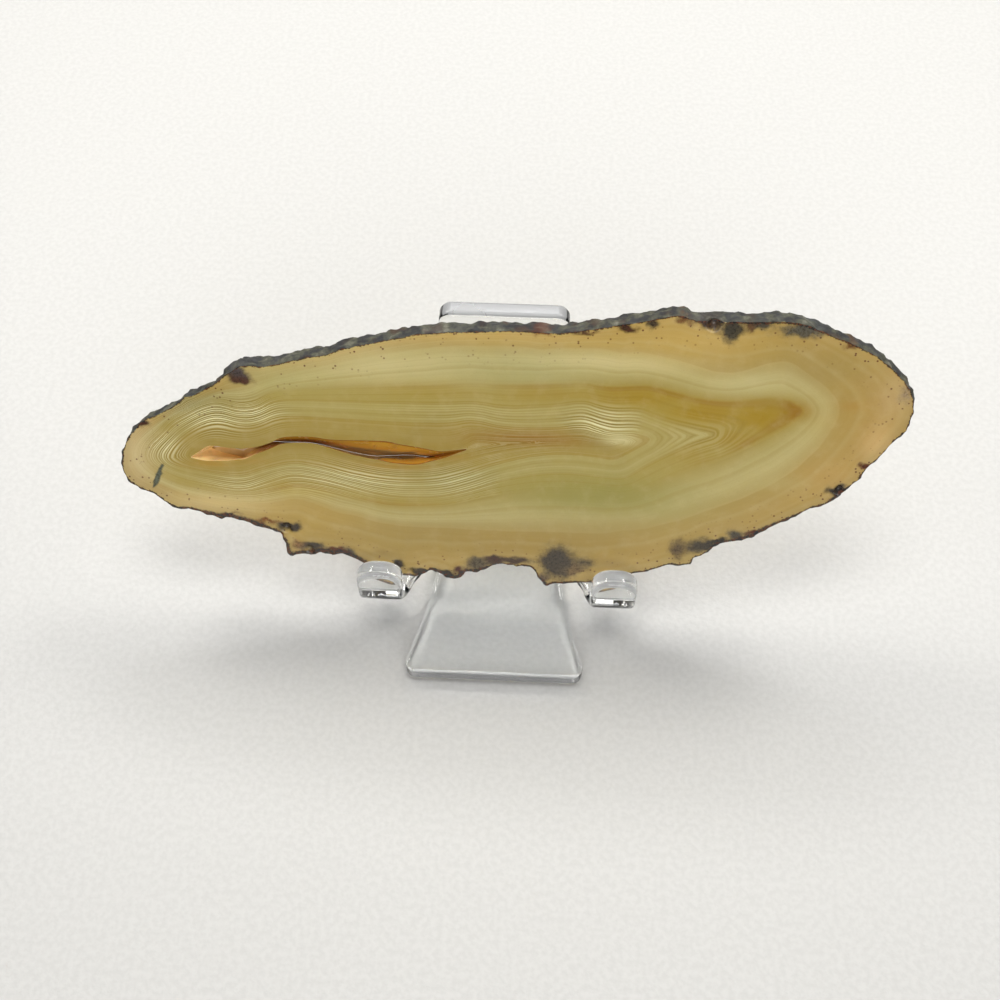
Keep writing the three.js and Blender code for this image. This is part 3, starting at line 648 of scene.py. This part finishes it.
class Nodes:
    """Short ways of adding shader nodes to one material."""

    def __init__(self, name):
        self.material = bpy.data.materials.new(name)
        self.material.use_nodes = True
        self.tree = self.material.node_tree
        self.shader = self.tree.nodes["Principled BSDF"]

    def feed(self, socket, value):
        """Link a socket to another one, or set its own value."""
        if isinstance(value, bpy.types.NodeSocket):
            self.tree.links.new(value, socket)
        elif hasattr(value, "__len__"):
            size = len(socket.default_value)
            socket.default_value = tuple(value) + (1.0,) * (size - len(value))
        else:
            socket.default_value = value

    def finish(self, inputs):
        """Set or link the shader's own inputs, and give the material."""
        for name, value in inputs.items():
            self.feed(self.shader.inputs[name], value)
        return self.material

    def add(self, kind, values=(), **settings):
        """A new node: its settings first, then its inputs in order."""
        node = self.tree.nodes.new(kind)
        for name, value in settings.items():
            setattr(node, name, value)
        for socket, value in zip(node.inputs, values):
            self.feed(socket, value)
        return node

    def read(self, name, output="Fac"):
        return self.add("ShaderNodeAttribute", attribute_name=name).outputs[output]

    def object_place(self):
        return self.add("ShaderNodeTexCoord").outputs["Object"]

    def combine(self, x, y, z):
        return self.add("ShaderNodeCombineXYZ", (x, y, z)).outputs[0]

    def math(self, operation, *values):
        return self.add("ShaderNodeMath", values, operation=operation).outputs[0]

    def product(self, first, *others):
        for other in others:
            first = self.math("MULTIPLY", first, other)
        return first

    def between(self, value, low, high, to_low=0.0, to_high=1.0):
        """A soft step from one value to another as the first runs from low to high."""
        values = (value, low, high, to_low, to_high)
        return self.add("ShaderNodeMapRange", values, interpolation_type="SMOOTHSTEP").outputs[0]

    def mix(self, factor, first, second, blend="MIX"):
        """Two colours mixed: a Mix node keeps them in its inputs 6 and 7."""
        node = self.add("ShaderNodeMix", data_type="RGBA", blend_type=blend)
        self.feed(node.inputs["Factor"], factor)
        self.feed(node.inputs[6], first)
        self.feed(node.inputs[7], second)
        return node.outputs[2]

    def ramp(self, factor, stops):
        """The stone's colours along a line of stops."""
        node = self.add("ShaderNodeValToRGB", (factor,))
        elements = node.color_ramp.elements
        while len(elements) < len(stops):
            elements.new(0.5)
        for element, (at, colour) in zip(elements, stops):
            element.position = at
            element.color = (*stone(colour), 1.0)
        return node.outputs[0]

    def noise(self, scale, detail, roughness, where, dimensions="3D"):
        node = self.add("ShaderNodeTexNoise", noise_dimensions=dimensions)
        place = "W" if dimensions == "1D" else "Vector"
        for name, value in (("Scale", scale), ("Detail", detail), ("Roughness", roughness), (place, where)):
            self.feed(node.inputs[name], value)
        return node.outputs[0]

    def cells(self, scale, where):
        node = self.add("ShaderNodeTexVoronoi")
        self.feed(node.inputs["Scale"], scale)
        self.feed(node.inputs["Vector"], where)
        return node.outputs["Distance"]

    def roughened(self, value, amount, scale, detail, roughness, where):
        """A value pushed up and down by noise."""
        push = self.math("SUBTRACT", self.noise(scale, detail, roughness, where), 0.5)
        return self.math("MULTIPLY_ADD", push, amount, value)

    def bump(self, height, strength, distance):
        node = self.add("ShaderNodeBump")
        for name, value in (("Height", height), ("Strength", strength), ("Distance", distance)):
            self.feed(node.inputs[name], value)
        return node.outputs[0]


# The banding's own colours, from the rim inwards, one whole step for each growth line
OUTER_COLOURS = [
    (0, (172, 146, 90)), (0.1, (178, 151, 92)), (0.5, (174, 149, 92)), (0.85, (170, 147, 90)),
    (0.97, (168, 146, 90)), (1, (182, 163, 109)), (1.05, (175, 158, 104)), (1.35, (186, 173, 121)),
    (1.62, (178, 165, 111)), (1.82, (170, 154, 97)), (1.97, (164, 146, 84)), (2.05, (166, 149, 86)),
]
INNER_COLOURS = [
    (2, (166, 149, 86)), (2.4, (170, 154, 92)), (2.8, (167, 150, 88)), (2.97, (160, 141, 78)),
    (3.05, (174, 160, 102)), (3.5, (170, 156, 98)), (3.92, (172, 158, 100)), (4.02, (160, 139, 78)),
    (4.4, (165, 146, 86)), (4.85, (163, 143, 84)), (5.05, (156, 134, 72)), (6, (162, 142, 84)),
]
INNER_START, OUTER_END, INNER_END = 2, 2.05, 6.0
TINT_COVER = 0.88

# The golden loop: where it shows and how strongly
GOLD_PLACES = [
    (52, 38.2, 4, 2.6, 1), (46, 36.8, 6, 3.4, 0.95), (37, 37.6, 8, 3, 0.9),
    (24, 40, 11, 2.4, 0.85), (8, 40, 10, 2, 0.6), (-10, 39.6, 12, 1.6, 0.35),
    (42, 32.4, 6, 2.4, 0.7), (34, 29, 5, 2.2, 0.35), (-38, 18.4, 6, 1.2, 0.7),
    (-22, 16, 12, 1, 0.45),
]
# Its two bands, by growth level: where each rises and falls, its cover and its colour
GOLD_BANDS = [
    ((1.86, 2.04), (3.02, 2.6), 0.85, (163, 134, 50)),
    ((1.93, 2.02), (2.22, 2.06), 0.85, (146, 112, 30)),
]

# The fine growth lines: how many to a step of growth level, and how unevenly they are spaced
LINES_PER_STEP = 7.0
LINE_SWAY = 1.6
# Broad stripes under them: where each starts and is full, and its colour
STRIPES = [(0.52, 0.72, (196, 181, 130)), (0.48, 0.30, (148, 126, 66))]
STRIPE_COVER = 0.22
# Soft patches over the whole face: scale, detail, roughness, start, full, cover, colour
PATCHES = [
    (0.35, 5, 0.6, 0.45, 0.75, 0.14, (206, 188, 140)),
    (3.4, 4, 0.7, 0.5, 0.8, 0.16, (120, 98, 52)),
]
# Brown specks near the rim: scale, cover, colour
SPECK_SCALE, SPECK_COVER, SPECK = 0.95, 0.85, (98, 62, 30)
# The dark crust at the face's edge, from its darkest noise to its palest
CRUST_COLOURS = [
    (0.32, (26, 19, 16)), (0.48, (52, 40, 30)), (0.57, (112, 74, 44)), (0.62, (60, 46, 34)),
    (0.76, (92, 84, 70)),
]
# What a stain's colour is multiplied by where it is darkest, and on the rind
STAIN_DARK = (0.14, 0.11, 0.10)
STAIN_ON_RIND = (0.42, 0.50, 0.60)


def growth_bands(nodes, level):
    """The broad bands between the growth lines."""
    span = INNER_END - INNER_START
    outer_stops = [(at / OUTER_END, shade) for at, shade in OUTER_COLOURS]
    inner_stops = [((at - INNER_START) / span, shade) for at, shade in INNER_COLOURS]
    outside = nodes.ramp(nodes.math("DIVIDE", level, OUTER_END), outer_stops)
    inside = nodes.ramp(nodes.math("DIVIDE", nodes.math("SUBTRACT", level, INNER_START), span), inner_stops)
    return nodes.mix(nodes.between(level, INNER_START, OUTER_END), outside, inside)


def with_golden_loop(nodes, base, level):
    """The golden loop, with the darker line at its outer edge."""
    gold = nodes.read("gold")
    for rise, fall, cover, shade in GOLD_BANDS:
        band = nodes.product(nodes.between(level, *rise), nodes.between(level, *fall), gold, cover)
        base = nodes.mix(band, base, stone(shade))
    return base


def with_fine_lines(nodes, base, level):
    """Broad stripes, and hair-thin lines where the face shows them."""
    broad = nodes.noise(2.3, 2, 0.6, level, "1D")
    for low, high, shade in STRIPES:
        base = nodes.mix(nodes.between(broad, low, high, 0, STRIPE_COVER), base, stone(shade))

    sway = nodes.product(nodes.noise(2.9, 1, 0.5, level, "1D"), LINE_SWAY)
    turns = nodes.math("ADD", nodes.product(level, LINES_PER_STEP), sway)
    wave = nodes.math("MULTIPLY_ADD", nodes.math("SINE", nodes.product(turns, 2 * math.pi)), 0.5, 0.5)
    weight = nodes.noise(5, 1, 0.5, level, "1D")
    fine = nodes.math("ADD", nodes.product(wave, 0.55), nodes.product(weight, 0.45))
    hair = nodes.noise(27, 1, 0.5, level, "1D")
    # pattern, where it starts and is full, power of the strength, cover, colour
    kinds = (
        (fine, 0.50, 0.74, 1.6, 0.94, (236, 230, 186)),
        (fine, 0.40, 0.24, 0.8, 0.80, (126, 107, 50)),
        (hair, 0.54, 0.64, 0.7, 0.34, (128, 108, 52)),
    )
    show = nodes.read("lines")
    for pattern, low, high, power, cover, shade in kinds:
        amount = nodes.product(nodes.between(pattern, low, high), nodes.math("POWER", show, power), cover)
        base = nodes.mix(amount, base, stone(shade))
    return base


def with_patches(nodes, base, where):
    """Faint clouds and grain."""
    for scale, detail, roughness, low, high, cover, shade in PATCHES:
        patch = nodes.noise(scale, detail, roughness, where)
        base = nodes.mix(nodes.between(patch, low, high, 0, cover), base, stone(shade))
    return base


def with_specks(nodes, base, where, edge):
    """Small brown specks in groups near the rim."""
    near_rim = nodes.product(nodes.between(edge, 7.5, 1), nodes.between(edge, 0.1, 0.5))
    dots = nodes.between(nodes.cells(SPECK_SCALE, where), 0.24, 0.12)
    groups = nodes.between(nodes.noise(0.30, 2, 0.5, where), 0.44, 0.51)
    return nodes.mix(nodes.product(dots, groups, near_rim, SPECK_COVER), base, stone(SPECK))


def with_stains(nodes, base, where):
    """Smoke and rust, mottled and with ragged edges."""
    stain = nodes.read("stain", "Color")
    ragged = nodes.roughened(nodes.read("stain", "Alpha"), 0.55, 1.5, 5, 0.75, where)
    dark = nodes.mix(1, stain, STAIN_DARK, "MULTIPLY")
    mottled = nodes.mix(nodes.between(nodes.noise(1.9, 5, 0.75, where), 0.44, 0.64, 0, 0.8), stain, dark)
    return nodes.mix(nodes.between(ragged, 0.14, 0.74, 0, 0.97), base, mottled)


def with_crust(nodes, base, where, edge):
    """The dark crust that runs in from the rim by an uneven width."""
    rough_edge = nodes.roughened(edge, 1.3, 1.1, 5, 0.75, where)
    share = nodes.math("DIVIDE", rough_edge, nodes.read("crust"))
    crust = nodes.ramp(nodes.noise(1.3, 4, 0.7, where), CRUST_COLOURS)
    return nodes.mix(nodes.between(share, 1, 0.55, 0, 0.95), base, crust)


def band_colour(nodes):
    """The face's whole pattern, laid over itself step by step."""
    edge = nodes.read("edge")
    where = nodes.combine(nodes.read("along"), nodes.read("up"), nodes.read("inward"))
    level = nodes.roughened(nodes.read("growth"), 0.10, 0.12, 2, 0.5, where)
    base = growth_bands(nodes, level)
    cover = nodes.product(nodes.read("tint", "Alpha"), TINT_COVER)
    base = nodes.mix(cover, base, nodes.read("tint", "Color"))
    base = with_golden_loop(nodes, base, level)
    base = with_fine_lines(nodes, base, level)
    base = with_patches(nodes, base, where)
    base = with_specks(nodes, base, where, edge)
    base = with_stains(nodes, base, where)
    return with_crust(nodes, base, where, edge)


def agate_material():
    """The two polished faces, with the faint smears of polishing."""
    nodes = Nodes("polished_agate")
    where = nodes.object_place()
    smears = nodes.noise(90, 3, 0.6, where)
    return nodes.finish({
        "Base Color": band_colour(nodes),
        "Roughness": nodes.between(smears, 0.3, 0.7, 0.13, 0.24),
        "IOR": 1.54,
        "Transmission Weight": 0.3,
        "Subsurface Weight": 0.25,
        "Subsurface Radius": (1, 0.85, 0.45),
        "Subsurface Scale": 0.002,
        "Normal": nodes.bump(nodes.noise(240, 2, 0.5, where), 0.05, 0.0002),
    })


def rind_material():
    """Grey lumps, brown patches, and the stains that run over them."""
    nodes = Nodes("weathered_rind")
    where = nodes.object_place()
    lumps = nodes.noise(420, 5, 0.65, where)
    patches = nodes.noise(160, 3, 0.6, where)
    colour = nodes.ramp(lumps, [
        (0.28, (20, 17, 15)), (0.44, (52, 50, 45)), (0.56, (76, 76, 68)), (0.74, (106, 104, 94)),
    ])
    colour = nodes.mix(nodes.between(patches, 0.55, 0.72, 0, 0.75), colour, linear((62, 42, 32)))
    rusty = nodes.mix(1, nodes.read("stain", "Color"), STAIN_ON_RIND, "MULTIPLY")
    ragged = nodes.roughened(nodes.read("stain", "Alpha"), 1.6, 520, 4, 0.7, where)
    colour = nodes.mix(nodes.between(ragged, 0.3, 0.75, 0, 0.55), colour, rusty)
    return nodes.finish({
        "Base Color": colour,
        "Roughness": nodes.between(patches, 0.3, 0.7, 0.55, 0.85),
        "Normal": nodes.bump(lumps, 0.6, 0.0004),
    })


def hollow_material():
    """The hollow's amber wall, with one grey facet; painted shade darkens it at its front lip, and painted
    light pales it towards the back and at its left end, as if lit through the thin stone.
    """
    nodes = Nodes("hollow_wall_painted_light_and_shade")
    inward, along = nodes.read("inward"), nodes.read("along")
    where = nodes.combine(along, nodes.read("up"), nodes.product(inward, THICKNESS))
    # Painted shade and light: darkest at the front lip, where the upper wall shades it, and palest at the
    # back, as if lit through the thin stone there
    colour = nodes.ramp(inward, [
        (0, (100, 62, 24)), (0.05, (150, 108, 48)), (0.12, (180, 142, 72)), (0.5, (190, 148, 76)),
        (0.85, (204, 166, 98)), (1, (226, 190, 124)),
    ])
    # Painted light: the hollow's left end is paled cream, as if lit through the thin stone behind it
    colour = nodes.mix(nodes.between(along, -43, -47, 0, 0.85), colour, linear((244, 214, 154)))
    streaks = nodes.noise(0.5, 4, 0.6, where)
    colour = nodes.mix(nodes.between(streaks, 0.5, 0.75, 0, 0.5), colour, linear((166, 118, 50)))
    place, reach, grey = HOLLOW_GREY
    off = nodes.math("ABSOLUTE", nodes.math("DIVIDE", nodes.math("SUBTRACT", along, place), reach))
    facet = nodes.product(nodes.between(off, 1, 0.75), nodes.between(inward, 0.55, 0.75), 0.8)
    colour = nodes.mix(facet, colour, linear(grey))
    return nodes.finish({
        "Base Color": colour,
        "Roughness": nodes.between(streaks, 0.3, 0.7, 0.12, 0.3),
        "Subsurface Weight": 0.3,
        "Subsurface Radius": (1, 0.6, 0.25),
        "Subsurface Scale": 0.002,
        "Normal": nodes.bump(streaks, 0.2, 0.0003),
    })


def skin_material():
    """The stone at the hollow's back, deep amber, with painted light paling it in two places as if lit
    through from behind.
    """
    nodes = Nodes("thin_skin_with_painted_glow")
    cloudy = nodes.noise(260, 4, 0.6, nodes.object_place())
    # Painted light: these pale colours stand in for light coming through the thin stone at the two places
    # below
    pale = nodes.mix(nodes.between(cloudy, 0.35, 0.7), linear((220, 186, 128)), linear((200, 160, 98)))
    along = nodes.read("along")
    left = nodes.product(nodes.between(along, -54, -53), nodes.between(along, -45, -46.5))
    right = nodes.product(nodes.between(along, -34, -32), nodes.between(along, -19, -24))
    return nodes.finish({
        "Base Color": nodes.mix(nodes.math("MAXIMUM", left, right), linear((150, 104, 44)), pale),
        "Roughness": 0.6,
        "Specular IOR Level": 0.15,
        "Normal": nodes.bump(cloudy, 0.3, 0.0003),
    })


# The clear sheet's finishes: lowest and highest roughness, and how clear it is
SHEET_FINISH = (0, 0.03, 1)
CUT_FINISH = (0.16, 0.30, 0.72)
# Faces this near the sheet's top or front end, and turned that way, are its sawn edges
CUT_REACH, CUT_FACING = 0.002, 0.7
# Faces are joined below the first angle, and edges rounded above the second and sharp above the third
FLAT_ANGLE, EDGE_ANGLE, SHARP_ANGLE = math.radians(0.6), math.radians(40), math.radians(35)
EDGE_WIDTH, EDGE_STEPS = 0.001, 5
FACE_WEIGHT = 90


def clear_material(name, low, high, clearness):
    """Clear plastic with faint smears."""
    nodes = Nodes(name)
    where = nodes.object_place()
    smears = nodes.noise(60, 4, 0.6, where)
    return nodes.finish({
        "Base Color": linear((254, 255, 255)),
        "Transmission Weight": clearness,
        "IOR": 1.49,
        "Roughness": nodes.between(smears, 0.35, 0.75, low, high),
        "Normal": nodes.bump(nodes.noise(35, 2, 0.5, where), 0.02, 0.0002),
    })


def sheet_mesh():
    """The stand's own form, with its flat faces joined up."""
    work = bmesh.new()
    work.from_mesh(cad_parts["display_stand"].data)
    bmesh.ops.remove_doubles(work, verts=work.verts, dist=1e-6)
    bmesh.ops.dissolve_limit(work, angle_limit=FLAT_ANGLE, verts=work.verts, edges=work.edges)
    bmesh.ops.recalc_face_normals(work, faces=work.faces)
    mesh = bpy.data.meshes.new("display_stand_finish")
    work.to_mesh(mesh)
    work.free()
    return mesh


def mark_cut_edges(mesh):
    """The sheet's top and front edges keep a sawn finish, the second material."""
    for face in mesh.polygons:
        is_top = face.normal.z > CUT_FACING and face.center.z > STAND_HIGH.z - CUT_REACH
        is_front = face.normal.y < -CUT_FACING and face.center.y < STAND_LOW.y + CUT_REACH
        face.material_index = 1 if is_top or is_front else 0


def make_stand():
    """The clear easel, with its edges rounded off."""
    mesh = sheet_mesh()
    mesh.materials.append(clear_material("clear_sheet", *SHEET_FINISH))
    mesh.materials.append(clear_material("cut_edge", *CUT_FINISH))
    mark_cut_edges(mesh)
    stand = bpy.data.objects.new("easel", mesh)
    bpy.context.collection.objects.link(stand)
    bpy.context.view_layer.objects.active = stand
    stand.select_set(True)
    rounding = stand.modifiers.new("rounding", "BEVEL")
    rounding.width = EDGE_WIDTH
    rounding.segments = EDGE_STEPS
    rounding.limit_method = "ANGLE"
    rounding.angle_limit = EDGE_ANGLE
    bpy.ops.object.modifier_apply(modifier=rounding.name)
    mesh.shade_smooth()
    mesh.set_sharp_from_angle(angle=SHARP_ANGLE)
    evening = stand.modifiers.new("evening", "WEIGHTED_NORMAL")
    evening.weight = FACE_WEIGHT
    evening.keep_sharp = True
    bpy.ops.object.modifier_apply(modifier=evening.name)
    stand.select_set(False)
    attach(stand, "root")
    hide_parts("display_stand")


# The floor starts a hair below the stand, so light passes under it
FLOOR_SIZE = 1.6
FLOOR_GAP = 0.0001


def make_floor():
    """A plain pale surface with a fine grain."""
    bpy.ops.mesh.primitive_plane_add(size=FLOOR_SIZE, location=(0, 0, -FLOOR_GAP))
    floor = bpy.context.object
    floor.name = "pale_floor"
    nodes = Nodes("pale_floor")
    grain = nodes.noise(900, 2, 0.5, nodes.object_place())
    shade = nodes.mix(nodes.between(grain, 0.3, 0.7), linear((184, 183, 180)), linear((190, 189, 186)))
    floor.data.materials.append(nodes.finish({
        "Base Color": shade,
        "Roughness": 0.55,
        "Normal": nodes.bump(grain, 0.25, 0.0003),
    }))


# Lamps: name, place, target, size, power, colour, and whether shiny faces mirror it: seen from above,
# the flat tongue would mirror the overhead one as a white sheet
LAMPS = [
    ("overhead", (0, 0.04, 0.75), (0, 0, 0.02), (0.36, 0.26), 2.8, (1, 0.99, 0.96), False),
    ("rear_left", (-0.32, 0.38, 0.50), (0, 0, 0.02), (0.24, 0.18), 2.1, (1, 0.98, 0.94), True),
    ("rear_right", (0.32, 0.38, 0.50), (0, 0, 0.02), (0.24, 0.18), 2.1, (1, 0.98, 0.94), True),
    ("rear_strip", (0, 0.52, 0.50), (0, 0, 0.05), (0.34, 0.08), 1.3, (1, 1, 1), True),
    ("front_fill", (0.12, -0.75, 0.42), (0, 0, 0.02), (0.8, 0.5), 3.1, (1, 1, 1), True),
]
# The room's own light at two heights
ROOM_LIGHT = [(0.05, (0.10, 0.10, 0.11)), (0.75, (0.34, 0.35, 0.37))]


def make_lamps():
    for name, place, target, size, power, colour, mirrored in LAMPS:
        light = bpy.data.lights.new(name, "AREA")
        light.shape = "RECTANGLE"
        light.size, light.size_y = size
        light.energy = power
        light.color = colour
        lamp = bpy.data.objects.new(name, light)
        bpy.context.collection.objects.link(lamp)
        lamp.location = place
        lamp.rotation_euler = (Vector(target) - Vector(place)).to_track_quat("-Z", "Y").to_euler()
        lamp.visible_glossy = mirrored


def make_room():
    """Dim light from all round, brighter from above."""
    world = bpy.data.worlds.new("soft_room")
    world.use_nodes = True
    tree = world.node_tree
    direction = tree.nodes.new("ShaderNodeTexCoord").outputs["Generated"]
    parts = tree.nodes.new("ShaderNodeSeparateXYZ")
    ramp = tree.nodes.new("ShaderNodeValToRGB")
    tree.links.new(direction, parts.inputs[0])
    tree.links.new(parts.outputs["Z"], ramp.inputs[0])
    for element, (height, colour) in zip(ramp.color_ramp.elements, ROOM_LIGHT):
        element.position = height
        element.color = (*colour, 1)
    tree.links.new(ramp.outputs[0], tree.nodes["Background"].inputs["Color"])
    bpy.context.scene.world = world


# The photograph's viewpoint: its place, how far down and aside it looks, and its lens
VIEW_PLACE = (6.10, -106.77, 229)
VIEW_DOWN, VIEW_ASIDE = math.radians(57), math.radians(-2.6)
LENS, SENSOR = 46.8, 36.0


def make_camera():
    camera = bpy.data.cameras.new("view")
    camera.sensor_width = SENSOR
    camera.lens = LENS
    holder = bpy.data.objects.new("view", camera)
    bpy.context.collection.objects.link(holder)
    x, y, z = VIEW_PLACE
    holder.location = (x * MM + MIDDLE_X, y * MM + FRONT_Y, z * MM)
    level = math.cos(VIEW_DOWN)
    forward = Vector((math.sin(VIEW_ASIDE) * level, math.cos(VIEW_ASIDE) * level, -math.sin(VIEW_DOWN)))
    holder.rotation_euler = forward.to_track_quat("-Z", "Y").to_euler()
    bpy.context.scene.camera = holder


# Light passes through several clear faces on its way
BOUNCES = 24

scene = bpy.context.scene
scene.view_settings.view_transform = "Standard"
scene.cycles.max_bounces = BOUNCES
scene.cycles.transmission_bounces = BOUNCES
scene.cycles.blur_glossy = 0.0
make_camera()
make_lamps()
make_room()
make_floor()
make_stand()
make_slice()
